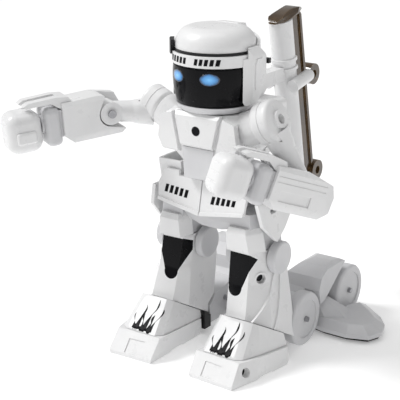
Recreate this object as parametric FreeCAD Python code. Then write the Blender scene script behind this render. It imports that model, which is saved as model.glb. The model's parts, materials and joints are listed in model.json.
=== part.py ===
import FreeCAD, Part
import math
import os

V = FreeCAD.Vector

# Millimetres. +X is the robot's own left, -Y is the way it faces, +Z is up, the floor is Z = 0.
# Everything is drawn with Y = 0 near the knees; SHIFT_X and SHIFT_Y centre the finished kit.
SHIFT_X = 9.3
SHIFT_Y = -8.5

WALL = 2.4
RUN = 0.06

# Head
HEAD_Y = -16.0
HEAD_R = 28.5
VISOR_LOW = 186.0
VISOR_HIGH = 213.3
BROW_HIGH = 221.6
CROWN_LOW = 223.6
CROWN_TOP = 238.0
EYE_X = 13.0
EYE_Z = 206.0
EYE_WIDE = 12.5
EYE_TALL = 8.4
NECK_R = 7.0

# Waist and shoulders
WAIST_Y = -8.0
WAIST_Z = 130.0
WAIST_R = 9.0
HUB = (47.8, -20.5, 177.5)
HUB_R = 15.2
RIGHT_HUB_R = 12.8
HUB_THICK = 15.0
HUB_TILT = 23.0
SHAFT_R = 4.0

# Staff: middle of the two round lugs, before it is leaned
LUGS = ((35.0, 173.0), (29.0, 92.0))

# Arms: elbow position and the way the forearm points
LEFT_ELBOW = (72.0, -10.0, 130.0)
LEFT_AIM = (-0.458, -0.822, 0.337)
RIGHT_ELBOW = (-74.0, -46.5, 174.0)
RIGHT_AIM = (-0.490, -0.865, -0.100)
EYE_R = 8.2
ELBOW_ROOM = 9.2
PIN_R = 2.0
LEFT_SWING = (192, 165, 135, 105, 75, 56, 40)
RIGHT_SWING = (196, 180, 165, 150, 135, 118)

# Legs and feet (left side; the right side is its mirror image)
SLOPE_FRONT = (-42.0, 39.0)
SLOPE_BACK = (4.0, 13.0)
TOE_HIGH = 16.5

# Rolling tail
WHEEL_R = 20.4
WHEEL_X = (47.2, 57.2)
WHEEL_FRONT_Y = 21.0
WHEEL_REAR_Y = 88.0
AXLE_R = 2.0


def vec(p):
    return V(p[0], p[1], p[2])


def box(x0, x1, y0, y1, z0, z1):
    return Part.makeBox(x1 - x0, y1 - y0, z1 - z0, V(x0, y0, z0))


def rod(radius, start, end):
    a = vec(start)
    b = vec(end)
    return Part.makeCylinder(radius, (b - a).Length, a, b - a)


def ring(outer, inner, start, end):
    a = vec(start)
    b = vec(end)
    step = (b - a).normalize()
    bore = rod(inner, a - step, b + step)
    return rod(outer, start, end).cut(bore)


def cone(r0, r1, start, end):
    a = vec(start)
    b = vec(end)
    return Part.makeCone(r0, r1, (b - a).Length, a, b - a)


def prism(points, axis, low, high):
    corners = []
    for p in points:
        if axis == "x":
            corners.append(V(low, p[0], p[1]))
        elif axis == "y":
            corners.append(V(p[0], low, p[1]))
        else:
            corners.append(V(p[0], p[1], low))
    wire = Part.makePolygon(corners + [corners[0]])
    step = {"x": V(1, 0, 0), "y": V(0, 1, 0), "z": V(0, 0, 1)}[axis]
    return Part.Face(wire).extrude(step * (high - low))


def tower(levels):
    wires = []
    for z, points in levels:
        corners = [V(p[0], p[1], z) for p in points]
        wires.append(Part.makePolygon(corners + [corners[0]]))
    return Part.makeLoft(wires, True, True)


def octagon(half, front, back, corner):
    return [
        (-half + corner, front),
        (half - corner, front),
        (half, front + corner),
        (half, back - corner),
        (half - corner, back),
        (-half + corner, back),
        (-half, back - corner),
        (-half, front + corner),
    ]


def rounded(shape, radius, keep):
    edges = [e for e in shape.Edges if keep(e)]
    if not edges:
        return shape
    return shape.makeFillet(radius, edges)


def lengthwise(edge):
    a = edge.Vertexes[0].Point
    b = edge.Vertexes[-1].Point
    return abs(a.z - b.z) + abs(a.x - b.x) < 0.01 and abs(a.y - b.y) > 0.01


def every(edge):
    return True


def joined(shapes):
    whole = shapes[0]
    for s in shapes[1:]:
        whole = whole.fuse(s)
    return whole.removeSplitter()


def mirrored(shape):
    return shape.mirror(V(0, 0, 0), V(1, 0, 0))


def pair(shapes):
    return list(shapes) + [mirrored(s) for s in shapes]


def below_line(front, back, lift):
    # Everything under the slanted line through two (y, z) points.
    slope = (back[1] - front[1]) / (back[0] - front[0])
    z0 = front[1] + slope * (-150 - front[0]) + lift
    z1 = front[1] + slope * (150 - front[0]) + lift
    return prism([(-150, -250), (-150, z0), (150, z1), (150, -250)], "x", -150, 150)


def above_line(front, back, lift):
    slope = (back[1] - front[1]) / (back[0] - front[0])
    z0 = front[1] + slope * (-150 - front[0]) + lift
    z1 = front[1] + slope * (150 - front[0]) + lift
    return prism([(-150, 350), (-150, z0), (150, z1), (150, 350)], "x", -150, 150)


def screw(head, direction, length):
    # Small crosshead screw: the head's outer face is centred on head, the shank runs along direction.
    start = vec(head)
    way = vec(direction).normalize()
    cap = rod(2.6, start, start + way * 1.8)
    shank = rod(1.3, start + way * 1.8, start + way * length)
    side = way.cross(V(0, 0, 1))
    if side.Length < 0.1:
        side = way.cross(V(1, 0, 0))
    side.normalize()
    other = way.cross(side)
    for s in (side, other):
        slot = rod(0.45, start - s * 1.7 + way * 0.2, start + s * 1.7 + way * 0.2)
        cap = cap.cut(slot)
    return joined([cap, shank])


def screw_well(head, direction, depth):
    # The recess a screw drops into, and the shank's clearance hole beyond it.
    start = vec(head)
    way = vec(direction).normalize()
    well = rod(3.6, start - way * depth, start)
    seat = rod(2.9, start, start + way * 1.9)
    hole = rod(1.4, start + way * 1.9, start + way * 40)
    return joined([well, seat, hole])


# ---------------------------------------------------------------- head

def at_head(z):
    return (0, HEAD_Y, z)


def head_parts():
    parts = {}
    front_zone = box(-40, 40, -60, -20.3, 150, 250)
    rear_zone = box(-40, 40, -20.0, 40, 150, 250)

    # Visor: a curved wrap-round window that bulges slightly at mid height.
    low = V(26.9, 0, VISOR_LOW)
    mid = V(29.6, 0, (VISOR_LOW + VISOR_HIGH) / 2 + 3)
    high = V(29.2, 0, VISOR_HIGH)
    skin = Part.Arc(low, mid, high).toShape()
    back_wall = Part.makePolygon([high, V(26.2, 0, VISOR_HIGH), V(24.4, 0, VISOR_LOW), low])
    profile = Part.Face(Part.Wire([skin] + back_wall.Edges))
    profile.translate(V(0, HEAD_Y, 0))
    visor = profile.revolve(V(0, HEAD_Y, 0), V(0, 0, 1), 360).common(front_zone)
    eyes = []
    for side in (-1, 1):
        tall = EYE_TALL / 2
        wide = EYE_WIDE / 2
        oval = Part.Ellipse(V(0, 0, 0), wide, tall).toShape()
        plate = Part.Face(Part.Wire([oval]))
        plate.rotate(V(0, 0, 0), V(1, 0, 0), 90)
        plate.translate(V(side * EYE_X, -20.5, EYE_Z))
        hole = plate.extrude(V(0, -40, 0))
        lens = visor.common(hole)
        eyes.append(lens)
    for lens in eyes:
        visor = visor.cut(lens)
    parts["visor"] = [visor]
    parts["eye_lenses"] = eyes

    brow = ring(30.2, 26.4, at_head(VISOR_HIGH + 0.3), at_head(BROW_HIGH))
    parts["brow_band"] = [brow.common(front_zone)]

    # Crown: a flattened dome, hollow inside.
    dome = rod(28.2, at_head(CROWN_LOW), at_head(CROWN_TOP))
    dome = rounded(dome, 12.5, lambda e: abs(e.BoundBox.ZMin - CROWN_TOP) < 0.01)
    core = rod(25.6, at_head(CROWN_LOW - 1), at_head(CROWN_TOP - 2.4))
    core = rounded(core, 10.5, lambda e: abs(e.BoundBox.ZMin - CROWN_TOP + 2.4) < 0.01)
    dome = dome.cut(core)
    fin = prism([(-14, 226), (-2, 238.2), (8, 237), (11.0, 231), (11.0, 226)], "x", -9, 9)
    fin = fin.cut(core)
    dome = joined([dome, fin])
    parts["helmet_crown"] = [dome]

    # Shell: sides and back of the helmet, with a raised hood round the rear.
    shell = ring(HEAD_R, HEAD_R - WALL, at_head(VISOR_LOW), at_head(BROW_HIGH))
    hood = ring(31.0, 27.3, at_head(198), at_head(231)).cut(rod(28.7, at_head(BROW_HIGH + 0.1),
        at_head(240)))
    hood = hood.common(box(-40, 40, -6, 40, 150, 250))
    hood = hood.cut(below_line((-6, 190), (14, 204), 0))
    hood = hood.cut(above_line((-6, 226), (14, 231), 0))
    deck = ring(HEAD_R - 0.5, 12.0, at_head(VISOR_LOW), at_head(VISOR_LOW + 2.2))
    shell = joined([shell, deck]).common(rear_zone)
    shell = joined([shell, hood])
    parts["helmet_shell"] = [shell]

    # Trim line under the crown, with a tab over the brow, and the clip behind each ear.
    trim = ring(29.0, 25.0, at_head(BROW_HIGH + 0.25), at_head(CROWN_LOW - 0.25))
    trim = trim.cut(ring(40, 28.4, at_head(BROW_HIGH), at_head(240)).common(box(-40, 40, -7, 40, 150, 250)))
    tab = ring(31.6, 28.9, at_head(BROW_HIGH - 2), at_head(CROWN_LOW + 5.5))
    sector = prism([(-17, -18), (-40, -40), (-27, -52), (-12, -22)], "z", 210, 240)
    tab = tab.common(sector).cut(ring(30.4, 20, at_head(BROW_HIGH - 3), at_head(BROW_HIGH + 0.2)))
    trim = joined([trim, tab])
    clips = []
    for side in (-1, 1):
        x0, x1 = sorted((side * 29.4, side * 34.4))
        clips.append(box(x0, x1, -2.0, 1.0, 213, 216.5).cut(rod(31.2, at_head(190), at_head(240))))
    parts["head_trim"] = [trim] + clips

    # Ear blocks: chamfered upright blocks either side of the visor.
    side_view = [(-27, 192), (-27, 217), (-22, 226), (-9, 226), (-3, 219), (-3, 204), (-12, 187), (-24, 187)]
    ear = prism(side_view, "x", 22.0, 33.2)
    ear = ear.cut(prism([(34, 180), (34, 196), (29.5, 180)], "y", -40, 0))
    ear = ear.cut(prism([(34, 230), (34, 219), (29.0, 230)], "y", -40, 0))
    ear = ear.cut(prism([(34, -28), (34, -18.5), (27.2, -28)], "z", 180, 240))
    ear = ear.cut(rod(30.5, at_head(180), at_head(240)).common(box(0, 40, -60, -20.0, 180, 240)))
    ear = ear.cut(rod(HEAD_R + 0.1, at_head(180), at_head(240)))
    ear = ear.cut(ring(31.2, 28.0, at_head(180), at_head(240)).common(box(0, 40, -6.2, 40, 180, 240)))
    ear = ear.cut(rod(31.8, at_head(219.0), at_head(240)).common(box(0, 40, -60, -20, 200, 250)))
    ear = ear.cut(rod(29.3, at_head(221.0), at_head(240)))
    pod = prism([(-17, 197), (-17, 214), (-15, 218), (-9, 218), (-6.5, 214), (-6.5, 204),
        (-11, 197)], "x", 33.0, 34.0)
    ear = joined([ear, pod])
    parts["ear_blocks"] = pair([ear])

    # The jaw ring and the floor that turns on the neck post are one moulding.
    jaw = cone(24.5, 27.8, at_head(181.0), at_head(185.7)).cut(rod(21.5, at_head(170), at_head(200)))
    floor = ring(24.0, NECK_R + RUN, at_head(185.2), at_head(189.0))
    jaw = joined([jaw, floor]).cut(shell)
    parts["jaw_ring"] = [jaw]

    board = box(-12, 12, -37.2, -35.8, 192, 212)
    lamps = [board]
    for side in (-1, 1):
        lamps.append(rod(2.2, (side * 8.5, -37.2, EYE_Z), (side * 8.5, -38.0, EYE_Z)))
    chip = box(-4, 4, -35.8, -34.4, 196, 202)
    post = box(-3, 3, -36.4, -34.0, 189.1, 192.2)
    parts["lamp_board"] = [joined(lamps + [chip, post])]
    return parts


# ---------------------------------------------------------------- torso

def chest_block(trim):
    return tower([
        (WAIST_Z + 1.5 + trim, octagon(14.5 - trim, -31 + trim, 12 - trim, 4)),
        (141, octagon(17.0 - trim, -32.5 + trim, 14 - trim, 5)),
        (154, octagon(31.0 - trim, -36 + trim, 16 - trim, 7)),
        (176, octagon(34.0 - trim, -36.5 + trim, 17 - trim, 8)),
        (180.2 - trim, octagon(28.0 - trim, -33 + trim, 15 - trim, 8)),
    ])


def hub_axis(side):
    tilt = math.radians(HUB_TILT)
    return V(side * math.cos(tilt), 0, math.sin(tilt))


def hub_centre(side):
    return V(side * HUB[0], HUB[1], HUB[2])


def torso_parts():
    parts = {}
    outer = chest_block(0.0)
    inner = chest_block(WALL)
    shell = outer.cut(inner)
    sockets = []
    bores = []
    for side in (-1, 1):
        way = hub_axis(side)
        centre = hub_centre(side)
        face = centre - way * (HUB_THICK / 2 + 0.6)
        cup = rod(12.2, face - way * 12, face).cut(inner)
        well = rod(SHAFT_R + RUN, face - way * 30, face + way * 2)
        sockets.append(cup)
        bores.append(well)
    shell = joined([shell] + [s.cut(outer) for s in sockets])

    # Raised armour panels on the breast, each side of the badge plate.
    panel = prism([(15.5, 151), (21.4, 179), (30.5, 176.0), (33.0, 160), (28.5, 151)], "y", -39.0, -34.0)
    panel = panel.cut(prism([(-30, 190), (-41, 176), (-41, 190)], "x", 0, 60))
    panel = panel.cut(prism([(-41, 153.5), (-41, 140), (-36, 150.5)], "x", 0, 60))
    panel = panel.cut(chest_block(0.6))
    shell = joined([shell, panel, mirrored(panel)])

    shell = shell.cut(rod(14.0, at_head(178), at_head(190)))
    for well in bores:
        shell = shell.cut(well)
    front = shell.common(box(-60, 60, -60, -8.1, 120, 200))
    back = shell.common(box(-60, 60, -7.9, 60, 120, 200))

    badge = prism([(-13.0, 155.8), (-18.6, 180.4), (18.6, 180.4), (13.0, 155.8)], "y", -39.8, -34.0)
    badge = badge.cut(prism([(-41, 181.5), (-36.7, 181.5), (-41, 176)], "x", -30, 30))
    badge = badge.cut(prism([(-41, 155.0), (-36.7, 155.0), (-41, 158.5)], "x", -30, 30))
    badge = badge.cut(chest_block(1.0))
    badge = max(badge.Solids, key=lambda s: s.Volume)
    front = front.cut(badge)
    parts["chest_badge"] = [badge]

    belly = prism([(-11.5, 133), (-13.0, 155.2), (13.0, 155.2), (11.5, 133)], "y", -37.4, -30)
    belly = belly.cut(outer)
    belly = belly.cut(front)
    parts["abdomen_plate"] = [max(belly.Solids, key=lambda s: s.Volume)]

    wells = []
    screws = []
    for x, z in ((-23.0, 150.5), (23.0, 150.5), (-15.0, 175.0), (15.0, 175.0)):
        seat = (x, 13.6, z)
        post = rod(3.4, (x, 13.8, z), (x, -7.9, z)).common(outer)
        stub = rod(3.4, (x, -8.1, z), (x, -36.0, z)).common(outer).cut(badge)
        back = joined([back, post])
        front = joined([front, stub])
        wells.append(screw_well(seat, (0, -1, 0), 8))
        screws.append(screw(seat, (0, -1, 0), 28))
    for well in wells:
        back = back.cut(well)
        front = front.cut(well)
    parts["torso_screws"] = screws

    # Neck post with a flange that keeps the head on, and the waist post with its own flange.
    neck = rod(NECK_R, at_head(174), at_head(193))
    foot = rod(13.6, at_head(177.0), at_head(184.9))
    flange = rod(9.5, at_head(189.3), at_head(191.3))
    neck = joined([neck, foot, flange])
    neck = neck.cut(rod(4.0, at_head(170), at_head(200)))
    front = front.cut(rod(14.0, at_head(170), at_head(190)))
    back = back.cut(rod(14.0, at_head(170), at_head(190)))
    saddle = box(-21, 21, -23, -9, 174.0, 177.0).common(inner)
    saddle = saddle.cut(rod(4.0, at_head(170), at_head(200)))
    neck = joined([neck, saddle])
    for well in wells:
        neck = neck.cut(well)
    neck = neck.cut(front).cut(back)
    parts["neck_post"] = [max(neck.Solids, key=lambda s: s.Volume)]

    post = rod(WAIST_R, (0, WAIST_Y, 119), (0, WAIST_Y, WAIST_Z + 8))
    lip = rod(12.5, (0, WAIST_Y, 116.6), (0, WAIST_Y, 119))
    plate = rod(13.2, (0, WAIST_Y, WAIST_Z + 4.2), (0, WAIST_Y, WAIST_Z + 8))
    waist = joined([post, lip, plate]).cut(rod(5.0, (0, WAIST_Y, 110), (0, WAIST_Y, 150)))
    hole = rod(WAIST_R + 0.02, (0, WAIST_Y, 125), (0, WAIST_Y, WAIST_Z + 4.1))
    front = front.cut(hole)
    back = back.cut(hole)
    parts["waist_post"] = [waist.cut(front).cut(back)]

    motors = []
    for side in (-1, 1):
        centre = hub_centre(side)
        way = hub_axis(side)
        face = centre - way * (HUB_THICK / 2 + 6.0)
        can = rod(6.2, face - way * 24, face - way * 12)
        tail = rod(2.0, face - way * 25.5, face - way * 24)
        motors.append(joined([can, tail]))
    parts["arm_motors"] = motors

    board = box(-13, 13, 4.0, 5.6, 146, 172)
    chips = [box(-7, 1, 2.4, 4.0, 150, 158), box(3, 9, 2.4, 4.0, 161, 168), rod(2.5, (-8, 4, 165),
        (-8, -1, 165))]
    parts["control_board"] = [joined([board] + chips)]

    # Backpack: a battery box on the back plate, with a lid and a power switch.
    pack_box = box(-21, 21, 17.6, 46, 140, 178)
    pack_box = rounded(pack_box, 4.0, lengthwise)
    room = box(-18, 18, 15, 43.4, 143, 175)
    pack = pack_box.cut(room)
    lid_gap = box(-16.3, 16.3, 42.0, 50, 145.7, 172.3)
    pack = pack.cut(lid_gap)
    lid = box(-16.0, 16.0, 43.6, 46.4, 146, 172)
    for z in (151, 155, 159, 163, 167):
        lid = lid.cut(box(-11, 11, 45.8, 47, z - 0.6, z + 0.6))
    pack = pack.cut(box(17.0, 22.0, 28.8, 36.4, 165.5, 168.5))
    knob = box(21.3, 23.6, 28.2, 32.2, 165.0, 169.0)
    stem = box(17.6, 21.4, 29.3, 31.1, 165.8, 168.2)
    keeper = box(16.2, 17.7, 27.6, 32.8, 164.4, 169.6)
    slide = joined([knob, stem, keeper])

    # A bracket on top of the backpack carries the staff column behind the head.
    bracket = prism([(27, 177.5), (27, 190), (31, 194), (76, 194), (76, 184), (44, 183),
        (38, 177.5)], "x", -5, 5)
    pack = joined([pack, bracket])
    parts["backpack_shell"] = [pack]
    parts["battery_lid"] = [lid]
    parts["power_switch"] = [slide]
    cells = []
    for z in (150.5, 165.0):
        cells.append(rod(6.0, (-15.0, 33.0, z), (14.0, 33.0, z)))
    parts["battery_cells"] = cells

    parts["chest_front"] = [front]
    parts["chest_back"] = [back]
    return parts


def staff_parts():
    # The staff is drawn upright at the origin and then leaned forward about its middle.
    low = 97.0
    high = 229.5
    wide = 9.0
    column = rod(wide, (0, 0, low), (0, 0, high)).common(box(-20, 20, -20, 5.0, low, high))
    bore = rod(wide - 2.0, (0, 0, low - 1), (0, 0, high - 3)).common(box(-20, 20, -20, 2.8, 90, high - 3))
    column = column.cut(bore)
    for z in (191.0, 198.0):
        band = ring(wide + 1.3, wide - 0.5, (0, 0, z), (0, 0, z + 2.4)).common(box(-20, 20, -20,
            5.0, z, z + 2.4))
        column = joined([column, band])
    for x in (-11, 11):
        bar = joined([rod(4.8, (x, -8, 180.7), (x, 15, 180.7)), Part.makeSphere(4.8, V(x, 15, 180.7))])
        bar = bar.cut(bore)
        column = joined([column, bar])

    # The blade: a long plate behind the column with a hooked cap over its top and two round lugs.
    blade = prism([(5.3, low - 4), (5.3, high + 0.4), (24.5, high + 0.4), (25.6, high - 6),
        (25.6, low + 2), (22, low - 4)], "x", -1.7, 1.7)
    rim = prism([(22.6, high + 0.4), (25.4, high - 4), (25.6, low + 2), (22.6, low + 2)], "x", -3.0, 3.0)
    steps = [math.pi * i / 12 for i in range(13)]
    dome = [(6.5 + 18 * math.cos(t), high + 0.4 + 5.2 * math.sin(t)) for t in steps]
    crown = [(7.4 * math.cos(t), high + 0.4 + 6.4 * math.sin(t)) for t in steps]
    nose = [(7.4 * math.cos(t), 2 - 14.5 * math.sin(t)) for t in steps]
    cap = prism(dome, "x", -8.0, 8.0).common(prism(crown, "y", -20, 30))
    cap = cap.common(prism(nose + [(-7.4, 14), (-3.6, 26), (3.6, 26), (7.4, 14)], "z", high, high + 20))
    lugs = []
    for y, z in LUGS:
        lugs.append(rod(8.2, (-4.5, y, z), (4.5, y, z)))
        lugs.append(box(-3.0, 3.0, 20, y, z - 3, z + 5))
    blade = joined([blade, rim, cap] + lugs).cut(column)
    for y, z in LUGS:
        blade = blade.cut(rod(3.2, (-8, y, z), (8, y, z)))
    placed = []
    for s in (column, blade):
        s.rotate(V(0, 0, 229), V(1, 0, 0), 11.4)
        s.translate(V(0, 69, 0))
        placed.append(s)
    return {"staff_column": [placed[0]], "staff_blade": [placed[1]]}


# ---------------------------------------------------------------- arms

def aim_frame(elbow, aim):
    forward = vec(aim).normalize()
    left = V(0, 0, 1).cross(forward).normalize()
    up = forward.cross(left)
    e = vec(elbow)
    return FreeCAD.Matrix(
        forward.x, left.x, up.x, e.x,
        forward.y, left.y, up.y, e.y,
        forward.z, left.z, up.z, e.z,
        0, 0, 0, 1)


def forearm_shapes(swing):
    # Drawn along +X from the elbow at the origin; +Y is the outer side, +Z is up.
    parts = {}
    outline = [(-13, -9), (-13.5, 2), (-10, 10), (8, 14.5), (35, 14.0), (36, -9), (29, -15.5), (-7, -15.5)]
    shell = prism(outline, "y", -13.0, 13.0)
    shell = shell.cut(prism([(14, 10), (14, 20), (6.5, 20)], "x", -30, 60))
    shell = shell.cut(prism([(-14, 10), (-14, 20), (-6.5, 20)], "x", -30, 60))
    shell = shell.cut(prism([(14, -20), (14, -9), (8.5, -20)], "x", -30, 60))
    shell = shell.cut(prism([(-14, -20), (-14, -9), (-8.5, -20)], "x", -30, 60))
    shell = shell.cut(box(4, 29, 12.0, 14, -9, -1.5))
    for z in (4.0, 8.0):
        shell = shell.cut(box(-6, 34, 12.4, 14, z - 0.35, z + 0.35))
    # The upper arm swings in a wide slot that is open on the inner side, from straight back to fully bent.
    slot = rod(ELBOW_ROOM, (0, -20, 0), (0, 5.9, 0))
    for angle in swing:
        sweep = box(0, 45, -20, 5.9, -ELBOW_ROOM, ELBOW_ROOM)
        sweep.rotate(V(0, 0, 0), V(0, 1, 0), -angle)
        slot = slot.fuse(sweep)
    shell = shell.cut(slot)
    hollow = box(14, 45, -9.9, 9.9, -9.9, 9.9)
    shell = shell.cut(hollow)
    shell = shell.cut(rod(PIN_R + 0.02, (0, -14.0, 0), (0, 11.0, 0)))

    pin = joined([rod(PIN_R, (0, -13.6, 0), (0, 10.9, 0)), rod(3.0, (0, -14.6, 0), (0, -13.5, 0))])
    parts["elbow_pin"] = pin

    # Two flat prongs run forward from the cuff over the wrist.
    guard = prism([(27, 14.0), (29, 17.6), (38, 18.8), (58, 18.4), (62, 16.4), (60, 14.8),
        (42, 14.9), (36, 10.5), (30, 10.5)], "y", -9.0, 9.0)
    guard = guard.cut(box(36.5, 70, -2.6, 2.6, 5, 25)).cut(box(20, 45, -9.9, 9.9, -9.9, 9.9))
    parts["forearm"] = joined([shell, guard])

    cuff = rounded(box(36.6, 48.0, -11.6, 11.6, -15.4, 11.8), 4.0, every)
    stub = box(24, 38, -9.6, 9.6, -9.6, 9.6)
    collar = joined([cuff, stub, rod(7.0, (47, 0, 0), (49.6, 0, 0))])
    collar = collar.cut(rod(3.0 + RUN, (18, 0, 0), (60, 0, 0)))
    parts["wrist_collar"] = collar

    fist = box(50.2, 75.4, -12.5, 12.5, -16.6, 12.6)
    fist = rounded(fist, 8.0, every)
    for z in (-7.0, -0.8, 5.4):
        fist = fist.cut(rod(0.8, (75.8, -15, z), (75.8, 15, z)))
    spigot = rod(3.0, (31.0, 0, 0), (53.0, 0, 0))
    thumb = rounded(box(56, 70, -14.6, -10.0, -8.5, 0.0), 1.8, every)
    fist = joined([fist, spigot, thumb])
    parts["fist"] = fist
    return parts


def arm_parts(side, elbow, aim):
    name = "left" if side > 0 else "right"
    frame = aim_frame(elbow, aim)
    swing = LEFT_SWING if side > 0 else RIGHT_SWING
    local = forearm_shapes(swing)
    parts = {}
    for key, shape in local.items():
        if side < 0:
            shape = shape.mirror(V(0, 0, 0), V(0, 1, 0))
        parts[name + "_" + key] = [moved(shape, frame)]

    way = hub_axis(side)
    centre = hub_centre(side)
    near = centre - way * (HUB_THICK / 2)
    far = centre + way * (HUB_THICK / 2)
    radius = HUB_R if side > 0 else RIGHT_HUB_R
    hub = rod(radius, near, far)
    hub = rounded(hub, 3.0, lambda e: e.Length > 60)
    groove = ring(radius + 2, radius - 0.6, centre - way * 0.5, centre + way * 0.5)
    hub = hub.cut(groove)
    boss = rod(6.2, far - way * 1.0, far + way * 2.2)
    hub = joined([hub, boss]).cut(rod(3.6, far - way * 6.0, far + way * 5))
    shaft = rod(SHAFT_R, near - way * 5.5, near + way * 1.0)
    hub = joined([hub, shaft])

    # Upper arm: a round sleeve from the hub to the elbow eye, which sits in the forearm's fork.
    m = frame
    joint = vec(elbow)
    left = V(m.A12, m.A22, m.A32)
    inward = left * (-side)
    eye = rod(EYE_R, joint - inward * 5.6, joint + inward * 12.6)
    middle = joint + inward * 3.8
    start = centre + way * (2.5 if side > 0 else 0.0) - V(0, 0, 4.0 if side > 0 else 6.0)
    run = (middle - start).normalize()
    sleeve_end = middle - run * 5.0
    sleeve = joined([
        cone(10.2, 8.8, start + run * 3.0, start + run * 15.0),
        cone(8.8, 7.4, start + run * 15.0, start + run * 21.0),
        cone(8.4, 7.4, start + run * 3.0, sleeve_end),
    ])
    lobe = Part.makeSphere(7.4, sleeve_end)
    pin_gap = rod(PIN_R + RUN, joint - inward * 20, joint + inward * 20)
    arm = joined([eye, sleeve, lobe])
    arm = arm.cut(rod(radius, near - way * 12, far)).cut(pin_gap)
    arm = arm.cut(hub)
    parts[name + "_upper_arm"] = [max(arm.Solids, key=lambda s: s.Volume)]
    parts[name + "_shoulder_hub"] = [hub]
    return parts


def moved(shape, matrix):
    copy = shape.copy()
    copy.Placement = FreeCAD.Placement(matrix)
    return copy


# ---------------------------------------------------------------- hips, legs, feet

def hip_parts():
    parts = {}
    block = tower([
        (92.5, octagon(12, -20, 6, 4)),
        (101, octagon(30, -25, 14, 6)),
        (128, octagon(19, -26, 12, 5)),
    ])
    block = block.cut(rod(12.9, (0, WAIST_Y, 97), (0, WAIST_Y, 119.3)))
    block = block.cut(rod(6.0, (0, WAIST_Y, 80), (0, WAIST_Y, 110)))
    block = block.cut(rod(WAIST_R + RUN, (0, WAIST_Y, 110), (0, WAIST_Y, 140)))
    parts["pelvis_block"] = [block]

    # Front skirts: broad plates that slope outwards, with a stepped lower edge.
    plate = prism([(0.5, 106), (0.5, 130.4), (20, 130.6), (21, 134), (33, 134), (37.5, 124),
        (36.2, 111.5)], "y", -60, 0)
    slab = prism([(-36.5, 104), (-30.5, 136), (-27.7, 136), (-33.7, 104)], "x", -50, 50)
    skirt = plate.common(slab)
    rib = prism([(0.5, 106), (0.5, 108.6), (36.4, 114.0), (36.2, 111.5)], "y", -60, 0)
    rib = rib.common(prism([(-37.4, 104), (-31.4, 136), (-28.0, 136), (-34.0, 104)], "x", -50, 50))
    link = joined([box(10, 22, -31.0, -25.8, 118, 124), box(0.5, 20.8, -31.0, -25.0, 124, 130.2)]).cut(block)
    skirt = joined([skirt, rib,
        link.cut(prism([(-40, 90), (-36.5, 104), (-30.5, 136), (-40, 136)], "x", -50, 50))])
    skirt = skirt.cut(block)
    skirt = max(skirt.Solids, key=lambda s: s.Volume)
    parts["front_skirts"] = pair([skirt])

    # Side skirts: five-sided plates that come to a point low down, each with a small slot.
    side = prism([(-30, 120), (8, 120), (10, 106), (-2, 97), (-14, 90.5), (-28, 104)], "x", 42, 56)
    lean = prism([(42.0, 121), (45.0, 121), (52.0, 90), (49.0, 90)], "y", -60, 60)
    flap = side.common(lean)
    flap = flap.cut(box(40, 60, -16, -9, 110.5, 113.5))
    hanger = box(28, 45.0, -8, 2, 112, 116).cut(block)
    flap = joined([flap, max(hanger.Solids, key=lambda s: s.Volume)])
    parts["side_skirts"] = pair([flap])

    rear = prism([(-27, 132), (27, 132), (32, 122), (28, 100), (-28, 100), (-32, 122)], "y", 0, 40)
    slope = prism([(14.5, 133), (17.3, 133), (23.0, 99), (20.2, 99)], "x", -50, 50)
    rear = rear.common(slope)
    tie = box(-10, 10, 10, 20, 112, 118).cut(block)
    tie = tie.cut(prism([(14.5, 133), (40, 133), (40, 99), (20.2, 99)], "x", -50, 50))
    parts["rear_skirt"] = [joined([rear, max(tie.Solids, key=lambda s: s.Volume)])]

    # Open boxes on top of each hip.
    well = tower([
        (121, [(21, -25), (40, -25), (40, -2), (21, -2)]),
        (140, [(21.5, -28), (41, -28), (42, 0), (21.5, 0)]),
    ])
    room = tower([
        (123, [(23, -23), (38, -23), (38, -4), (23, -4)]),
        (141, [(23.3, -26), (39.2, -26), (40.2, -2), (23.3, -2)]),
    ])
    cup = well.cut(room).cut(block)
    cup = cup.cut(prism([(-60, 100), (-37.0, 104), (-27.5, 136.2), (-27.5, 150), (-60, 150)], "x", -60, 60))
    cup = cup.cut(prism([(41.7, 122), (60, 122), (60, 90), (44, 90)], "y", -60, 60))
    parts["hip_boxes"] = pair([max(cup.Solids, key=lambda s: s.Volume)])
    return parts, block


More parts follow.
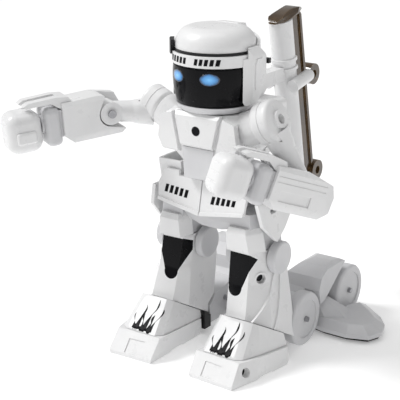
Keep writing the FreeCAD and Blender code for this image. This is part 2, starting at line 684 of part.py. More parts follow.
def leg_parts(block):
    parts = {}
    thigh = tower([
        (83, [(19, -26), (40, -26), (43, -20), (43, 6), (40, 9), (19, 9)]),
        (98, [(20, -28), (38, -28), (41, -22), (41, 7), (38, 10), (20, 10)]),
        (111, [(20, -28), (37, -28), (40, -22), (40, 8), (37, 10), (20, 10)]),
    ])
    thigh = thigh.cut(block)
    thigh = max(thigh.Solids, key=lambda s: s.Volume)
    link = [box(28.0, 43.5, -16.5, 2.5, 111.5, 116.5)]
    thigh = thigh.cut(link[0])

    guard = tower([
        (83.5, [(17.0, -18.5), (20.3, -30.5), (38.5, -30.5), (45.2, -18.5)]),
        (97, [(17.2, -20.5), (20.6, -32.5), (37.0, -32.5), (43.6, -20.0)]),
        (101, [(19.0, -22.0), (22.0, -30.8), (35.5, -30.8), (41.8, -21.0)]),
    ])
    guard = guard.cut(thigh).cut(block)
    guard = max(guard.Solids, key=lambda s: s.Volume)
    parts["thighs"] = pair([thigh])
    parts["knee_guards"] = pair([guard])

    outer = tower([
        (9, [(16.5, -30), (24, -44.4), (44, -48), (57, -27), (60.5, 0), (57, 5), (17, 5)]),
        (36, [(16.8, -24), (23.5, -35.7), (41, -38), (53, -22), (55, 3), (51, 9), (17, 9)]),
        (60, [(17.2, -20.5), (21.8, -30.2), (38.5, -31), (46.8, -18), (49, 6), (45, 12), (17.2, 12)]),
        (82.6, [(17.6, -17.5), (20.8, -26.3), (37.5, -27), (43.8, -16), (44.5, 4), (41, 9), (17.8, 9)]),
    ])
    inner = tower([
        (0, [(19.5, -31), (26.5, -43), (42, -46), (54, -26), (57, 0), (54, 1), (20, 1)]),
        (36, [(19.2, -22.8), (25.2, -32.8), (39, -35), (50, -21), (52, 2), (49, 6), (19.4, 6)]),
        (60, [(19.6, -18.8), (23.4, -27.3), (36.8, -28), (44.0, -16.5), (46, 5), (43, 9), (19.6, 9)]),
        (79.8, [(20, -16), (22.5, -23.5), (35.5, -24), (40.8, -14.5), (41.5, 3), (39, 6), (20.2, 6)]),
    ])
    shin = outer.cut(inner)
    shin = shin.cut(below_line(SLOPE_FRONT, SLOPE_BACK, 0.0))

    # Raised curved ribs down the outside of the shin.
    ribs = []
    for start, end, bow in (((-8, 70), (-34, 35), (-19.5, 50.7)), ((-2, 68), (-21.5, 27.5), (-10.5, 44.4))):
        curve = Part.Arc(V(0, start[0], start[1]), V(0, bow[0], bow[1]), V(0, end[0], end[1])).toShape()
        steps = curve.discretize(9)
        inner_edge = [(p.y - 0.9, p.z) for p in steps]
        outer_edge = [(p.y + 0.9, p.z) for p in reversed(steps)]
        band = prism(inner_edge + outer_edge, "x", 20, 70)
        ribs.append(band)
    grown = tower([
        (9, [(16.5, -30.8), (23.6, -45.4), (44.6, -49.2), (58.2, -27.6), (61.8, 0.3), (57.5, 5), (17, 5)]),
        (36, [(16.8, -24.8), (23.1, -36.7), (41.6, -39.2), (54.2, -22.6), (56.3, 3), (51.5, 9), (17, 9)]),
        (60, [(17.2, -21.3), (21.4, -31.2), (39.1, -32.2), (48.0, -18.6), (50.3, 6), (45.5, 12),
            (17.2, 12)]),
        (82.6, [(17.6, -18.3), (20.4, -27.3), (38.1, -28.2), (45.0, -16.6), (45.8, 4), (41.5, 9),
            (17.8, 9)]),
    ])
    core = tower([
        (36, [(18.2, -23.3), (24.4, -34.2), (40.0, -36.4), (51.4, -21.4), (53, 3), (50, 7), (18.2, 7)]),
        (60, [(18.6, -19.6), (22.7, -28.7), (37.5, -29.4), (45.3, -17.2), (47.4, 6), (44, 10), (18.6, 10)]),
        (84, [(19.0, -16.4), (21.8, -24.7), (36.4, -25.3), (42.2, -15.2), (43, 4), (40, 7), (19.2, 7)]),
    ])
    raised = []
    for band in ribs:
        piece = grown.cut(inner).common(band).cut(below_line(SLOPE_FRONT, SLOPE_BACK, 0.0))
        raised.append(max(piece.Solids, key=lambda s: s.Volume))
    shin = joined([shin] + raised)

    # The glossy inset wraps the front of the shin and both of its bevels: straight top, rounded bottom.
    bottom = Part.Arc(V(22.4, 0, 57.0), V(28.0, 0, 50.6), V(33.6, 0, 57.0)).toShape()
    corners = [(33.6, 57.0), (41.0, 77.6), (37.6, 81.2), (20.6, 81.2), (15.6, 76.5), (22.4, 57.0)]
    sides = Part.makePolygon([V(x, 0, z) for x, z in corners])
    slab = Part.Face(Part.Wire([bottom] + sides.Edges))
    slab.translate(V(0, -60, 0))
    cutter = slab.extrude(V(0, 46, 0))
    pocket = cutter.common(grown).cut(core)
    inset = pocket.common(outer)
    shin = shin.cut(pocket)
    shin = shin.cut(rod(WHEEL_R + 1.3, (46, WHEEL_FRONT_Y, WHEEL_R), (66, WHEEL_FRONT_Y, WHEEL_R)))
    shin = shin.cut(prism([(0.4, -5), (0.4, 22), (9, 28.6), (38, 33), (60, 33), (60, -5)], "x", 14, 44))
    parts["shin_insets"] = pair([max(inset.Solids, key=lambda s: s.Volume)])

    screws = []
    out = V(0.843, -0.538, 0)
    seat = V(42.6, -21.4, 63.3)
    boss = rod(5.0, seat - out * 7, seat + out * 1.4).cut(inner)
    boss = joined([boss, rod(4.4, seat - out * 7, seat - out * 2)])
    shin = joined([shin, boss]).cut(rod(3.6, seat - out * 2.0, seat + out * 8))
    shin = shin.cut(rod(2.9, seat - out * 4.0, seat)).cut(rod(1.4, seat - out * 12, seat))
    screws.append(screw(tuple(seat - out * 2.0), tuple(out * -1.0), 9))
    parts["shin_shells"] = pair([max(shin.Solids, key=lambda s: s.Volume)])

    # Knee discs either side of the joint line.
    discs = []
    outer_disc = rod(12.0, (44.9, -6, 76), (52.0, -6, 76))
    outer_disc = rounded(outer_disc, 1.6, lambda e: e.Length > 60)
    outer_disc = outer_disc.cut(shin).cut(grown).cut(thigh).cut(guard)
    discs.append(max(outer_disc.Solids, key=lambda s: s.Volume))
    inner_disc = rod(12.0, (10.5, -6, 75), (16.9, -6, 75))
    inner_disc = rounded(inner_disc, 1.6, lambda e: e.Length > 60)
    discs.append(inner_disc)
    parts["knee_discs"] = pair(discs)

    # Foot: toe block, instep shell, and the dark ankle block behind.
    toe = tower([
        (0, [(17.4, -72.0), (53.0, -73.4), (58.5, -50), (63.0, -16), (59, -9.5), (17.4, -9.5)]),
        (3, [(16.8, -72.6), (53.6, -73.8), (59.3, -50), (64.0, -15), (60, -8.5), (16.8, -8.5)]),
        (20, [(16.0, -59.4), (52.6, -60.6), (57.8, -42), (61.6, -14.5), (58, -10), (16.4, -10)]),
    ])
    toe = toe.cut(above_line((-61, TOE_HIGH), (-12, 13.2), 0.0))
    toe = toe.cut(prism([(-50, -1), (-46, 1.2), (-34, 1.2), (-30, -1)], "x", 0, 100))
    mark = prism([(26.5, 3.6), (26.5, 12.6), (40.5, 12.2), (40.5, 3.4)], "y", -90, -40)
    plate = mark.common(toe)
    toe = toe.cut(plate.cut(shifted(plate, (0, 0.9, 0))))
    screws.append(screw((53.0, -59.0, 8.8), (-1, 0, 0), 16))
    toe = toe.cut(rod(3.6, (52.9, -59.0, 8.8), (70, -59.0, 8.8)))
    toe = toe.cut(rod(2.9, (51.0, -59.0, 8.8), (53.1, -59.0, 8.8)))
    toe = toe.cut(rod(1.45, (36.0, -59.0, 8.8), (52, -59.0, 8.8)))
    parts["toe_blocks"] = pair([max(toe.Solids, key=lambda s: s.Volume)])
    parts["leg_screws"] = pair(screws)

    instep = tower([
        (10, [(17.0, -61), (21, -66.6), (48.2, -67), (52.8, -63.5), (57.5, -44), (61.5, -13),
            (57, -7), (17.5, -7)]),
        (38.4, [(20.5, -36.5), (24.2, -41.8), (43.4, -41.2), (48.2, -37.6), (50, -34), (54, -14),
            (50, -9), (20.5, -9)]),
        (44, [(20.8, -32), (24.4, -37), (42.6, -36.6), (47.2, -33), (49, -30), (53, -14), (49, -9),
            (20.8, -9)]),
    ])
    instep = instep.cut(below_line((-61, TOE_HIGH), (-12, 13.2), 0.25))
    instep = instep.cut(above_line(SLOPE_FRONT, SLOPE_BACK, -0.6))
    instep = instep.cut(inner_hollow())
    parts["instep_shells"] = pair([max(instep.Solids, key=lambda s: s.Volume)])
    ankle = joined([box(21, 46, -8.0, 0.5, 4, 12.0), box(14.5, 21.5, -7.5, 0.5, 4, 22)])
    ankle = ankle.cut(below_line(SLOPE_FRONT, SLOPE_BACK, 60).cut(below_line(SLOPE_FRONT, SLOPE_BACK, -1.2)))
    ankle = ankle.cut(instep)
    parts["ankle_blocks"] = pair([max(ankle.Solids, key=lambda s: s.Volume)])
    return parts


def inner_hollow():
    return tower([
        (12, [(21.0, -53), (48.0, -57), (54.0, -43), (57.5, -14), (54, -11), (20.5, -11)]),
        (33, [(24.5, -37), (43.0, -40.5), (46.5, -33), (50.0, -16), (47, -13), (23.0, -13)]),
    ])


def shifted(shape, by):
    copy = shape.copy()
    copy.translate(vec(by))
    return copy


# ---------------------------------------------------------------- rolling tail

def tail_parts():
    parts = {}
    profile = [(1.0, 6), (1.0, 20), (10, 27), (38, 31), (47, 43), (60, 46.5), (84, 45.5), (99, 34),
        (105, 18), (103, 6)]
    side = prism(profile, "x", 15.5, 43.5)
    bridge = prism([(22, 8), (22, 22), (44, 27), (76, 27), (84, 20), (84, 8)], "x", -16, 16)
    side = side.common(prism([(15.5, 0), (15.5, 22), (18, 32), (23, 41), (31, 47.5),
        (43.5, 47.5), (43.5, 0)], "y", -20, 130))
    housing = joined([side, mirrored(side), bridge])
    motors = []
    axles = []
    for y in (WHEEL_FRONT_Y, WHEEL_REAR_Y):
        housing = housing.cut(rod(AXLE_R + RUN, (-60, y, WHEEL_R), (60, y, WHEEL_R)))
        axles.append(rod(AXLE_R, (-WHEEL_X[1] - 1.2, y, WHEEL_R), (WHEEL_X[1] + 1.2, y, WHEEL_R)))
    bay = box(22, 38, 50, 78, 22, 38)
    for cut in (bay, mirrored(bay)):
        housing = housing.cut(cut)
    for side_sign in (-1, 1):
        x = side_sign * 30
        motors.append(joined([rod(6.8, (x, 52, 30), (x, 72, 30)), rod(1.2, (x, 72, 30), (x, 77, 30))]))
    parts["drive_motors"] = motors
    parts["wheel_axles"] = axles

    fender = prism([(43.5, 24), (41, 35), (44, 44), (54, 50.5), (64, 52), (74, 51), (80.5, 47.5),
        (50, 25)], "x", 18, 56)
    fender = fender.common(prism([(18, 10), (19, 30), (24, 42), (32, 49.5), (40, 53), (52, 53),
        (56, 49), (56, 10)], "y", 0, 120))
    fender = fender.cut(side)
    fender = max(fender.Solids, key=lambda s: s.Volume)
    parts["fenders"] = pair([fender])

    # Side fins: flat bevelled plates that spread out between and behind the wheels.
    deck = [(43.8, 44), (60, 40), (80, 40), (96, 46), (100.5, 58), (96, 72), (87, 83), (66, 99),
        (61, 99), (61, 64), (43.8, 64)]
    rim = prism(deck, "z", 4.0, 7.0)
    top = tower([
        (7.0, [(43.8, 44), (60, 40), (80, 40), (96, 46), (100.5, 58), (96, 72), (87, 83), (66, 99)]),
        (12.5, [(43.8, 46), (60, 46), (78, 47), (88, 51), (91, 59), (88, 69), (80, 77), (66, 88)]),
    ])
    top = joined([top, tower([
        (7.0, [(43.8, 46), (62, 46), (80, 56), (70, 78), (62, 82), (43.8, 64)]),
        (24, [(43.8, 48), (50, 48), (54, 54), (54, 60), (50, 62), (43.8, 62)]),
    ])])
    wheel_room = rod(WHEEL_R + 1.6, (46, WHEEL_REAR_Y, WHEEL_R), (61, WHEEL_REAR_Y, WHEEL_R))
    front_room = rod(WHEEL_R + 1.4, (46, WHEEL_FRONT_Y, WHEEL_R), (61, WHEEL_FRONT_Y, WHEEL_R))
    rim = rim.cut(wheel_room).cut(front_room)
    top = top.cut(wheel_room).cut(front_room).cut(fender)
    fin = joined([rim, top])
    fin = max(fin.Solids, key=lambda s: s.Volume)
    under = prism([(46, 46), (61, 43), (79, 43), (94, 48), (98, 58), (94, 70), (86, 80), (66, 95),
        (62.5, 95), (62.5, 62), (46, 62)], "z", 1.4, 4.0)
    under = under.cut(wheel_room).cut(front_room)
    parts["side_fins"] = pair([fin])
    parts["fin_skids"] = pair([max(under.Solids, key=lambda s: s.Volume)])

    wheels = {}
    for place, y in (("front", WHEEL_FRONT_Y), ("rear", WHEEL_REAR_Y)):
        disc = rod(WHEEL_R, (WHEEL_X[0], y, WHEEL_R), (WHEEL_X[1], y, WHEEL_R))
        disc = rounded(disc, 2.2, lambda e: e.Length > 100)
        dish = rod(14.5, (WHEEL_X[1] - 1.0, y, WHEEL_R), (WHEEL_X[1] + 2, y, WHEEL_R))
        disc = disc.cut(dish)
        back = ring(17.0, 6.0, (WHEEL_X[0] - 1, y, WHEEL_R), (WHEEL_X[0] + 3.0, y, WHEEL_R))
        disc = disc.cut(back)
        disc = disc.cut(rod(AXLE_R + RUN, (40, y, WHEEL_R), (70, y, WHEEL_R)))
        wheels[place] = disc
    for place, disc in wheels.items():
        parts["left_" + place + "_wheel"] = [disc]
        parts["right_" + place + "_wheel"] = [mirrored(disc)]
    parts["tail_housing"] = [housing]
    return parts


# ---------------------------------------------------------------- all together

def build():
    nodes = {}
    nodes.update(head_parts())
    nodes.update(torso_parts())
    nodes.update(staff_parts())
    column = nodes["staff_column"][0]
    pack = nodes["backpack_shell"][0].cut(column)
    nodes["backpack_shell"] = [max(pack.Solids, key=lambda s: s.Volume)]
    nodes.update(arm_parts(1, LEFT_ELBOW, LEFT_AIM))
    nodes.update(arm_parts(-1, RIGHT_ELBOW, RIGHT_AIM))
    hips, block = hip_parts()
    nodes.update(hips)
    nodes.update(leg_parts(block))
    nodes.update(tail_parts())
    return nodes


def save(name, shapes):
    whole = shapes[0] if len(shapes) == 1 else Part.makeCompound(shapes)
    whole = whole.copy()
    whole.translate(V(SHIFT_X, SHIFT_Y, 0))
    whole.exportStep("parts/" + name + ".step")


os.makedirs("parts", exist_ok=True)
for name, shapes in build().items():
    save(name, shapes)
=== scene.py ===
import json
import math

import bmesh
import bpy
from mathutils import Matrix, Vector
from mathutils.bvhtree import BVHTree


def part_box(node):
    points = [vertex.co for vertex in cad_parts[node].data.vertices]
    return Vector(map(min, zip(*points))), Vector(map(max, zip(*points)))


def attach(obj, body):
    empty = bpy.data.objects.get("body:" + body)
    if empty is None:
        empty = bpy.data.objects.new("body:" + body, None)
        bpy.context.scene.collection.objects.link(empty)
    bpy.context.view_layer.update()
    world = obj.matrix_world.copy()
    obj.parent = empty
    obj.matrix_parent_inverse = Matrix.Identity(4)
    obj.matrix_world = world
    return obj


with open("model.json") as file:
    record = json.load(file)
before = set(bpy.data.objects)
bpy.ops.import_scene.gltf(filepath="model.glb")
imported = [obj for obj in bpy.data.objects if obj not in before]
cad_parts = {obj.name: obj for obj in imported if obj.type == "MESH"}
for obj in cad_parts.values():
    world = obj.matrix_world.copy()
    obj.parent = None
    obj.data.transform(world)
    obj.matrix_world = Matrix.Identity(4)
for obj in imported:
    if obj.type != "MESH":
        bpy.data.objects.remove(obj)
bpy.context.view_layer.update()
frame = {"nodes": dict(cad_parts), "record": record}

NODES = frame["nodes"]
RECORD = frame["record"]
BODY_OF = {node: body for body, members in RECORD["behaviour"]["bodies"].items() for node in members}
SLOT_OF = {part["node"]: part["material_slot"] for part in RECORD["subparts"]}
MM = 0.001
NECK_LOW, NECK_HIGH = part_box("neck_post")
MID_X = (NECK_LOW.x + NECK_HIGH.x) / 2
NECK_Y = (NECK_LOW.y + NECK_HIGH.y) / 2
INK_LIFT = 0.04 * MM
INK_THICK = 0.05 * MM
LAYER_LIFT = 0.004 * MM
STEP = 1.2 * MM
IN_FRONT = -0.5
EYE_HALF_WIDE = 6.25 * MM


# ---------------------------------------------------------------- node helpers

def wire(tree, source, target):
    tree.links.new(source, target)


def add(tree, kind, **inputs):
    node = tree.nodes.new(kind)
    for name, value in inputs.items():
        node.inputs[name.replace("_", " ")].default_value = value
    return node


def noise(tree, coords, scale, detail=3.0, roughness=0.55):
    node = add(tree, "ShaderNodeTexNoise", Scale=scale, Detail=detail, Roughness=roughness)
    wire(tree, coords, node.inputs["Vector"])
    return node.outputs["Fac"]


def remap(tree, value, low, high, from_low=0.3, from_high=0.7):
    node = tree.nodes.new("ShaderNodeMapRange")
    node.inputs["From Min"].default_value = from_low
    node.inputs["From Max"].default_value = from_high
    node.inputs["To Min"].default_value = low
    node.inputs["To Max"].default_value = high
    wire(tree, value, node.inputs["Value"])
    return node.outputs["Result"]


def mixed(tree, factor, first, second):
    """A colour that goes from first to second as factor goes from 0 to 1."""
    node = tree.nodes.new("ShaderNodeMix")
    node.data_type = "RGBA"
    for socket, value in ((node.inputs[6], first), (node.inputs[7], second)):
        if isinstance(value, tuple):
            socket.default_value = (*value, 1.0)
        else:
            wire(tree, value, socket)
    wire(tree, factor, node.inputs[0])
    return node.outputs[2]


def edge_mask(tree, radius):
    """1 along sharp edges and 0 on the open face: how far a rounded normal leaves the true one."""
    bevel = tree.nodes.new("ShaderNodeBevel")
    bevel.samples = 4
    bevel.inputs["Radius"].default_value = radius
    geometry = tree.nodes.new("ShaderNodeNewGeometry")
    dot = tree.nodes.new("ShaderNodeVectorMath")
    dot.operation = "DOT_PRODUCT"
    wire(tree, bevel.outputs["Normal"], dot.inputs[0])
    wire(tree, geometry.outputs["Normal"], dot.inputs[1])
    return remap(tree, dot.outputs["Value"], 1.0, 0.0, 0.80, 0.99)


def blank(name):
    material = bpy.data.materials.new(name)
    material.use_nodes = True
    tree = material.node_tree
    shader = tree.nodes["Principled BSDF"]
    coords = tree.nodes.new("ShaderNodeTexCoord").outputs["Object"]
    return material, tree, shader, coords


def bump(tree, height, strength, distance, shader):
    node = tree.nodes.new("ShaderNodeBump")
    node.inputs["Strength"].default_value = strength
    node.inputs["Distance"].default_value = distance
    wire(tree, height, node.inputs["Height"])
    wire(tree, node.outputs["Normal"], shader.inputs["Normal"])


# ------------------------------------------------------------------- materials

def moulded(name, colour, shade, edge, rough, grain, gloss=0.5):
    """Moulded plastic: cloudy tint, pale edges, a fine spark-eroded grain and a few dull patches."""
    material, tree, shader, coords = blank(name)
    cloud = remap(tree, noise(tree, coords, 38.0), 0.0, 1.0)
    body = mixed(tree, cloud, shade, colour)
    body = mixed(tree, edge_mask(tree, 0.5 * MM), body, edge)
    wire(tree, body, shader.inputs["Base Color"])
    patches = remap(tree, noise(tree, coords, 95.0, 4.0), rough - 0.05, rough + 0.07)
    wire(tree, patches, shader.inputs["Roughness"])
    bump(tree, noise(tree, coords, 1500.0, 2.0), grain, 0.05 * MM, shader)
    shader.inputs["IOR"].default_value = 1.53
    shader.inputs["Specular IOR Level"].default_value = gloss
    return material


def polished_black(name):
    material, tree, shader, coords = blank(name)
    haze = remap(tree, noise(tree, coords, 60.0), 0.0, 1.0)
    body = mixed(tree, haze, (0.002, 0.002, 0.003), (0.005, 0.005, 0.006))
    body = mixed(tree, edge_mask(tree, 0.4 * MM), body, (0.02, 0.02, 0.022))
    wire(tree, body, shader.inputs["Base Color"])
    wire(tree, remap(tree, noise(tree, coords, 240.0, 5.0), 0.05, 0.13), shader.inputs["Roughness"])
    bump(tree, noise(tree, coords, 900.0, 2.0), 0.04, 0.02 * MM, shader)
    shader.inputs["Specular IOR Level"].default_value = 0.10
    shader.inputs["Coat Weight"].default_value = 0.06
    shader.inputs["Coat Roughness"].default_value = 0.04
    return material


def glowing_lens(name):
    """Blue lamps behind a dark lens: brightest in the middle and fading before the rim."""
    material, tree, shader, coords = blank(name)
    low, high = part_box("eye_lenses")
    centre_z = (low.z + high.z) / 2
    half_tall = (high.z - low.z) / 2
    centre_x = high.x - EYE_HALF_WIDE - MID_X
    split = tree.nodes.new("ShaderNodeSeparateXYZ")
    wire(tree, coords, split.inputs["Vector"])

    def math_node(operation, first, second):
        node = tree.nodes.new("ShaderNodeMath")
        node.operation = operation
        for socket, value in zip(node.inputs, (first, second)):
            if isinstance(value, (int, float)):
                socket.default_value = value
            elif value is not None:
                wire(tree, value, socket)
        return node.outputs[0]

    across = math_node("ABSOLUTE", math_node("SUBTRACT", split.outputs["X"], MID_X), None)
    across = math_node("DIVIDE", math_node("SUBTRACT", across, centre_x), EYE_HALF_WIDE)
    up = math_node("DIVIDE", math_node("SUBTRACT", split.outputs["Z"], centre_z), half_tall)
    away = math_node("ADD", math_node("POWER", across, 2.0), math_node("POWER", up, 2.0))
    away = math_node("SQRT", away, None)
    speckle = remap(tree, noise(tree, coords, 500.0, 3.0), -0.06, 0.06)
    away = math_node("ADD", away, speckle)
    ramp = tree.nodes.new("ShaderNodeValToRGB")
    ramp.color_ramp.elements[0].position = 0.0
    ramp.color_ramp.elements[0].color = (0.14, 0.42, 0.74, 1.0)
    ramp.color_ramp.elements[1].position = 0.98
    ramp.color_ramp.elements[1].color = (0.001, 0.003, 0.012, 1.0)
    middle = ramp.color_ramp.elements.new(0.62)
    middle.color = (0.05, 0.22, 0.50, 1.0)
    wire(tree, away, ramp.inputs["Fac"])
    wire(tree, ramp.outputs["Color"], shader.inputs["Emission Color"])
    wire(tree, ramp.outputs["Color"], shader.inputs["Base Color"])
    wire(tree, remap(tree, noise(tree, coords, 240.0), 0.06, 0.14), shader.inputs["Roughness"])
    shader.inputs["Emission Strength"].default_value = 0.5
    shader.inputs["Coat Weight"].default_value = 0.6
    return material


def smoked(name):
    """Smoke-brown see-through plastic with faint flow marks and a painted warm sheen: a lighter brown
    painted along the edges as a highlight.
    """
    material, tree, shader, coords = blank(name)
    flow = remap(tree, noise(tree, coords, 55.0, 4.0), 0.0, 1.0)
    body = mixed(tree, flow, (0.040, 0.022, 0.009), (0.110, 0.062, 0.022))
    # Painted highlight: the edges get a lighter warm brown that stands in for the sheen of light on them.
    body = mixed(tree, edge_mask(tree, 0.6 * MM), body, (0.34, 0.20, 0.07))
    wire(tree, body, shader.inputs["Base Color"])
    wire(tree, remap(tree, noise(tree, coords, 160.0, 4.0), 0.10, 0.20), shader.inputs["Roughness"])
    bump(tree, noise(tree, coords, 70.0, 1.0), 0.12, 0.08 * MM, shader)
    shader.inputs["Transmission Weight"].default_value = 0.35
    shader.inputs["Coat Weight"].default_value = 0.5
    return material


def steel(name, colour, rough):
    material, tree, shader, coords = blank(name)
    lines = noise(tree, coords, 700.0, 5.0, 0.7)
    body = mixed(tree, remap(tree, lines, 0.0, 1.0), tuple(0.72 * c for c in colour), colour)
    wire(tree, body, shader.inputs["Base Color"])
    wire(tree, remap(tree, lines, rough - 0.06, rough + 0.10), shader.inputs["Roughness"])
    bump(tree, lines, 0.08, 0.04 * MM, shader)
    shader.inputs["Metallic"].default_value = 1.0
    return material


def board(name):
    material, tree, shader, coords = blank(name)
    bricks = tree.nodes.new("ShaderNodeTexBrick")
    bricks.inputs["Scale"].default_value = 260.0
    bricks.inputs["Color1"].default_value = (0.015, 0.16, 0.055, 1.0)
    bricks.inputs["Color2"].default_value = (0.02, 0.20, 0.07, 1.0)
    bricks.inputs["Mortar"].default_value = (0.05, 0.30, 0.10, 1.0)
    wire(tree, coords, bricks.inputs["Vector"])
    wire(tree, bricks.outputs["Color"], shader.inputs["Base Color"])
    wire(tree, remap(tree, noise(tree, coords, 200.0), 0.30, 0.45), shader.inputs["Roughness"])
    return material


def printed_ink(name):
    """Pad-printed black ink: slightly uneven, a little duller than the shell under it."""
    material, tree, shader, coords = blank(name)
    uneven = remap(tree, noise(tree, coords, 900.0, 4.0), 0.0, 1.0)
    body = mixed(tree, uneven, (0.002, 0.002, 0.003), (0.010, 0.010, 0.012))
    wire(tree, body, shader.inputs["Base Color"])
    wire(tree, remap(tree, noise(tree, coords, 400.0), 0.28, 0.42), shader.inputs["Roughness"])
    shader.inputs["Specular IOR Level"].default_value = 0.08
    return material


WHITE = ((0.84, 0.84, 0.84), (0.79, 0.79, 0.795), (0.90, 0.90, 0.90))
PALE = ((0.68, 0.68, 0.69), (0.62, 0.62, 0.635), (0.76, 0.76, 0.77))
BLACK = ((0.014, 0.014, 0.015), (0.009, 0.009, 0.010), (0.030, 0.030, 0.032))
WRAP = ((0.10, 0.13, 0.20), (0.07, 0.09, 0.15), (0.20, 0.22, 0.28))
MATERIALS = {
    "white_shell": moulded("white_shell", *WHITE, rough=0.30, grain=0.05, gloss=0.45),
    "pale_grey": moulded("pale_grey", *PALE, rough=0.34, grain=0.06, gloss=0.45),
    "black_plastic": moulded("black_plastic", *BLACK, rough=0.38, grain=0.12, gloss=0.25),
    "gloss_black": polished_black("gloss_black"),
    "eye_glow": glowing_lens("eye_glow"),
    "smoked_blade": smoked("smoked_blade"),
    "steel": steel("steel", (0.46, 0.46, 0.48), 0.34),
    "black_screw": steel("black_screw", (0.035, 0.035, 0.038), 0.40),
    "motor_can": steel("motor_can", (0.58, 0.58, 0.60), 0.28),
    "circuit_green": board("circuit_green"),
    "cell_wrap": moulded("cell_wrap", *WRAP, rough=0.30, grain=0.05),
}
INK = printed_ink("printed_ink")


# -------------------------------------------------------- finish of the CAD nodes

# Radius of the moulded edges in mm; EDGE is for the nodes that SOFT_EDGE does not name.
EDGE = 0.28
SOFT_EDGE = {
    "visor": 0.0,
    "eye_lenses": 0.0,
    "control_board": 0.0,
    "lamp_board": 0.0,
    "shin_shells": 0.5,
    "instep_shells": 0.6,
    "toe_blocks": 0.7,
    "knee_guards": 0.6,
    "thighs": 0.6,
    "front_skirts": 0.4,
    "side_skirts": 0.5,
    "hip_boxes": 0.4,
    "chest_front": 0.6,
    "chest_badge": 0.5,
    "abdomen_plate": 0.5,
    "left_forearm": 0.5,
    "right_forearm": 0.5,
    "backpack_shell": 0.8,
    "ear_blocks": 0.5,
    "tail_housing": 1.4,
    "fenders": 1.8,
    "side_fins": 1.8,
}
ROUNDED = ("fenders", "side_fins", "tail_housing")
SHARP_ANGLE = math.radians(30)
ROUNDED_ANGLE = math.radians(14)
WELD = 0.004 * MM


def finish_node(name, thing):
    """Gives a CAD node its material and, as modifiers, the small moulded radius on its sharp edges."""
    thing.data.materials.clear()
    thing.data.materials.append(MATERIALS[SLOT_OF[name]])
    for face in thing.data.polygons:
        face.use_smooth = True
    weld = thing.modifiers.new("weld", "WELD")
    weld.merge_threshold = WELD
    width = SOFT_EDGE.get(name, EDGE) * MM
    if width:
        bevel = thing.modifiers.new("bevel", "BEVEL")
        bevel.width = width
        bevel.segments = 4 if name in ROUNDED else 2
        bevel.limit_method = "ANGLE"
        bevel.angle_limit = ROUNDED_ANGLE if name in ROUNDED else SHARP_ANGLE
        bevel.use_clamp_overlap = True
        bevel.miter_outer = "MITER_ARC"
        bevel.harden_normals = True
    weighted = thing.modifiers.new("normals", "WEIGHTED_NORMAL")
    weighted.weight = 80
    weighted.keep_sharp = True


for node_name, node_object in NODES.items():
    finish_node(node_name, node_object)


# ------------------------------------------------------------------ printed marks

def surface_of(node):
    mesh = NODES[node].data
    return BVHTree.FromPolygons([v.co for v in mesh.vertices], [p.vertices for p in mesh.polygons])


def cut_fine(work, step):
    """Slices flat outlines on a grid so that they can follow a curved face."""
    for axis in (0, 2):
        places = [v.co[axis] for v in work.verts]
        count = int((max(places) - min(places)) / step)
        for i in range(1, count + 1):
            normal = Vector((1, 0, 0)) if axis == 0 else Vector((0, 0, 1))
            point = normal * (min(places) + i * step)
            everything = work.verts[:] + work.edges[:] + work.faces[:]
            bmesh.ops.bisect_plane(work, geom=everything, plane_co=point, plane_no=normal)


def printed(name, outlines, node):
    """Ink laid on a CAD node from the front."""
    tree = surface_of(node)
    whole = bmesh.new()
    for layer, outline in enumerate(outlines):
        work = bmesh.new()
        corners = [work.verts.new((MID_X + x, 0.0, z)) for x, z in outline]
        work.faces.new(corners)
        bmesh.ops.triangulate(work, faces=work.faces[:])
        cut_fine(work, STEP)
        lost = []
        for vert in work.verts:
            start = Vector((vert.co.x, IN_FRONT, vert.co.z))
            place, normal = tree.ray_cast(start, Vector((0, 1, 0)))[:2]
            if place is None:
                lost.append(vert)
            else:
                vert.co = place + normal * (INK_LIFT + layer * LAYER_LIFT)
        bmesh.ops.delete(work, geom=lost, context="VERTS")
        part = bpy.data.meshes.new("part")
        work.to_mesh(part)
        work.free()
        whole.from_mesh(part)
        bpy.data.meshes.remove(part)
    for face in whole.faces:
        face.normal_update()
        if face.normal.y > 0:
            face.normal_flip()
        face.smooth = True
    mesh = bpy.data.meshes.new(name)
    whole.to_mesh(mesh)
    whole.free()
    thing = bpy.data.objects.new(name, mesh)
    bpy.context.scene.collection.objects.link(thing)
    mesh.materials.append(INK)
    skin = thing.modifiers.new("thickness", "SOLIDIFY")
    skin.thickness = INK_THICK
    skin.offset = 1.0
    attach(thing, BODY_OF[node])
    return thing


def slanted_bar(x, z, wide, tall, lean):
    return [(x, z), (x + wide, z), (x + wide + lean, z + tall), (x + lean, z + tall)]


def bar_row(x, z, count, pitch, wide, tall, lean, rise=0.0):
    """A row of slanted bars; rise lifts each bar above the one before it."""
    return [slanted_bar(x + i * pitch, z + i * rise, wide, tall, lean) for i in range(count)]


def disc(x, z, radius, count=14):
    turn = 2 * math.pi / count
    return [(x + radius * math.cos(i * turn), z + radius * math.sin(i * turn)) for i in range(count)]


def brow_marks():
    low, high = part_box("brow_band")
    base = low.z + 0.24 * (high.z - low.z)
    tall = 0.54 * (high.z - low.z)
    sizes = dict(count=5, pitch=3.5 * MM, wide=2.3 * MM, tall=tall, lean=0.8 * MM)
    marks = bar_row(-20.5 * MM, base, **sizes) + bar_row(2.8 * MM, base, **sizes)
    printed("brow_marks", marks, "brow_band")


def skirt_marks():
    low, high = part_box("front_skirts")
    base = low.z + 0.42 * (high.z - low.z)
    size = (4.3 * MM, 2.7 * MM, 5.6 * MM, 1.0 * MM)
    marks = bar_row(-31.5 * MM, base, 5, *size, rise=-0.35 * MM)
    marks += bar_row(8.6 * MM, base - 2.2 * MM, 5, *size, rise=0.35 * MM)
    printed("skirt_marks", marks, "front_skirts")


SPOT_RADIUS = 3.4 * MM


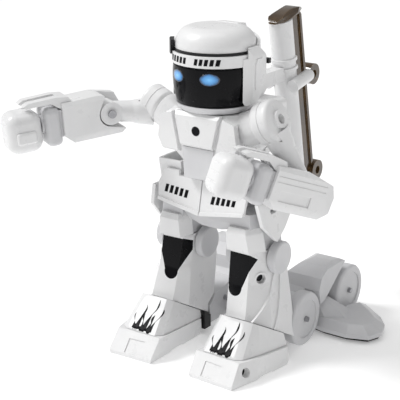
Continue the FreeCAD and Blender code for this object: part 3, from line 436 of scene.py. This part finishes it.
def badge_marks():
    """A plain round spot in the middle of the chest plate."""
    low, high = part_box("chest_badge")
    middle = (low.z + high.z) / 2
    printed("badge_marks", [disc(0.0, middle, SPOT_RADIUS, count=40)], "chest_badge")


def tongue(x, z, high, wide, lean, curl):
    """One tongue of flame: a round foot, a winding body that leans as it rises, and a fine hooked tip."""
    count = 22
    left, right = [], []
    for i in range(count):
        t = i / (count - 1)
        centre = x + lean * t + curl * math.sin(2 * math.pi * t) * (0.35 + 0.65 * t)
        half = wide / 2 * (1 - t) ** 0.8 * (0.55 + 0.45 * math.cos(2.2 * math.pi * t))
        half = max(half, 0.16 * MM * (1 - t))
        left.append((centre - half, z + high * t))
        right.append((centre + half, z + high * t))
    return left + right[-2::-1]


FOOT_OUT = 34.5
# Each tongue of flame, in mm: x from the foot, height, width, lean and curl.
TONGUES = (
    (-7.4, 8.6, 3.2, -2.6, 0.9),
    (-4.8, 14.6, 3.6, 1.0, -1.7),
    (-1.0, 10.6, 3.4, -1.4, 1.4),
    (1.4, 19.0, 4.0, 4.0, -2.0),
    (4.6, 10.0, 3.2, 1.8, 1.3),
    (7.0, 14.2, 3.2, 4.4, -1.5),
)
# Each ember, in mm: x from the foot, height above the base and radius.
EMBERS = ((-5.9, 0.6, 2.1), (-3.0, -0.4, 2.2), (0.2, 0.2, 2.3), (3.2, -0.4, 2.2), (6.0, 0.8, 2.0))


def instep_marks():
    low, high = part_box("instep_shells")
    base = low.z + 0.19 * (high.z - low.z)
    marks = []
    for foot in (-FOOT_OUT, FOOT_OUT):
        for x, tall, wide, lean, curl in TONGUES:
            marks.append(tongue((foot + x) * MM, base, tall * MM, wide * MM, lean * MM, curl * MM))
        for x, up, radius in EMBERS:
            marks.append(disc((foot + x) * MM, base + up * MM, radius * MM))
    printed("instep_marks", marks, "instep_shells")


brow_marks()
skirt_marks()
badge_marks()
instep_marks()


# --------------------------------------------------------- floor, light and camera

FLOOR_HALF = 6.0
SUN_WAY = Vector((0.72, 0.42, -0.92))
CAMERA_PLACE = Vector((458.6, -673.5, 383.1)) * MM
CAMERA_AIM = Vector((-16.23, 4.64, 107.72)) * MM
CAMERA_LENS = 108.04


def floor():
    mesh = bpy.data.meshes.new("floor")
    work = bmesh.new()
    ways = ((-1, -1), (1, -1), (1, 1), (-1, 1))
    corners = [work.verts.new((x * FLOOR_HALF, y * FLOOR_HALF, 0.0)) for x, y in ways]
    work.faces.new(corners)
    work.to_mesh(mesh)
    work.free()
    thing = bpy.data.objects.new("floor", mesh)
    bpy.context.scene.collection.objects.link(thing)
    material, tree, shader, coords = blank("floor")
    tint = mixed(tree, noise(tree, coords, 3.0), (0.90, 0.90, 0.90), (0.92, 0.92, 0.92))
    wire(tree, tint, shader.inputs["Base Color"])
    shader.inputs["Roughness"].default_value = 0.6
    shader.inputs["Emission Color"].default_value = (1.0, 1.0, 1.0, 1.0)
    shader.inputs["Emission Strength"].default_value = 0.26
    mesh.materials.append(material)


def lamp(name, place, aim, size, power):
    data = bpy.data.lights.new(name, "AREA")
    data.shape = "DISK"
    data.size = size
    data.energy = power
    thing = bpy.data.objects.new(name, data)
    thing.location = place
    thing.rotation_mode = "QUATERNION"
    thing.rotation_quaternion = (Vector(aim) - Vector(place)).to_track_quat("-Z", "Y")
    bpy.context.scene.collection.objects.link(thing)


def light():
    world = bpy.data.worlds.new("studio")
    world.use_nodes = True
    world.node_tree.nodes["Background"].inputs["Color"].default_value = (1.0, 1.0, 1.0, 1.0)
    world.node_tree.nodes["Background"].inputs["Strength"].default_value = 0.40
    bpy.context.scene.world = world
    middle = (MID_X, 0.0, 0.12)
    sun = bpy.data.lights.new("key", "SUN")
    sun.energy = 2.0
    sun.angle = 0.35
    key = bpy.data.objects.new("key", sun)
    key.rotation_mode = "QUATERNION"
    key.rotation_quaternion = SUN_WAY.to_track_quat("-Z", "Y")
    bpy.context.scene.collection.objects.link(key)
    lamp("top", (0.0, -0.1, 1.3), middle, 0.8, 2.5)
    lamp("rim", (0.9, 0.65, 0.55), middle, 0.5, 0.6)
    bpy.context.scene.view_settings.view_transform = "Standard"


def camera():
    data = bpy.data.cameras.new("camera")
    data.sensor_width = 36.0
    data.lens = CAMERA_LENS
    thing = bpy.data.objects.new("camera", data)
    neck = Vector((MID_X, NECK_Y, 0.0))
    place = neck + CAMERA_PLACE
    target = neck + CAMERA_AIM
    thing.location = place
    thing.rotation_mode = "QUATERNION"
    thing.rotation_quaternion = (target - place).to_track_quat("-Z", "Y")
    bpy.context.scene.collection.objects.link(thing)
    bpy.context.scene.camera = thing


floor()
light()
camera()
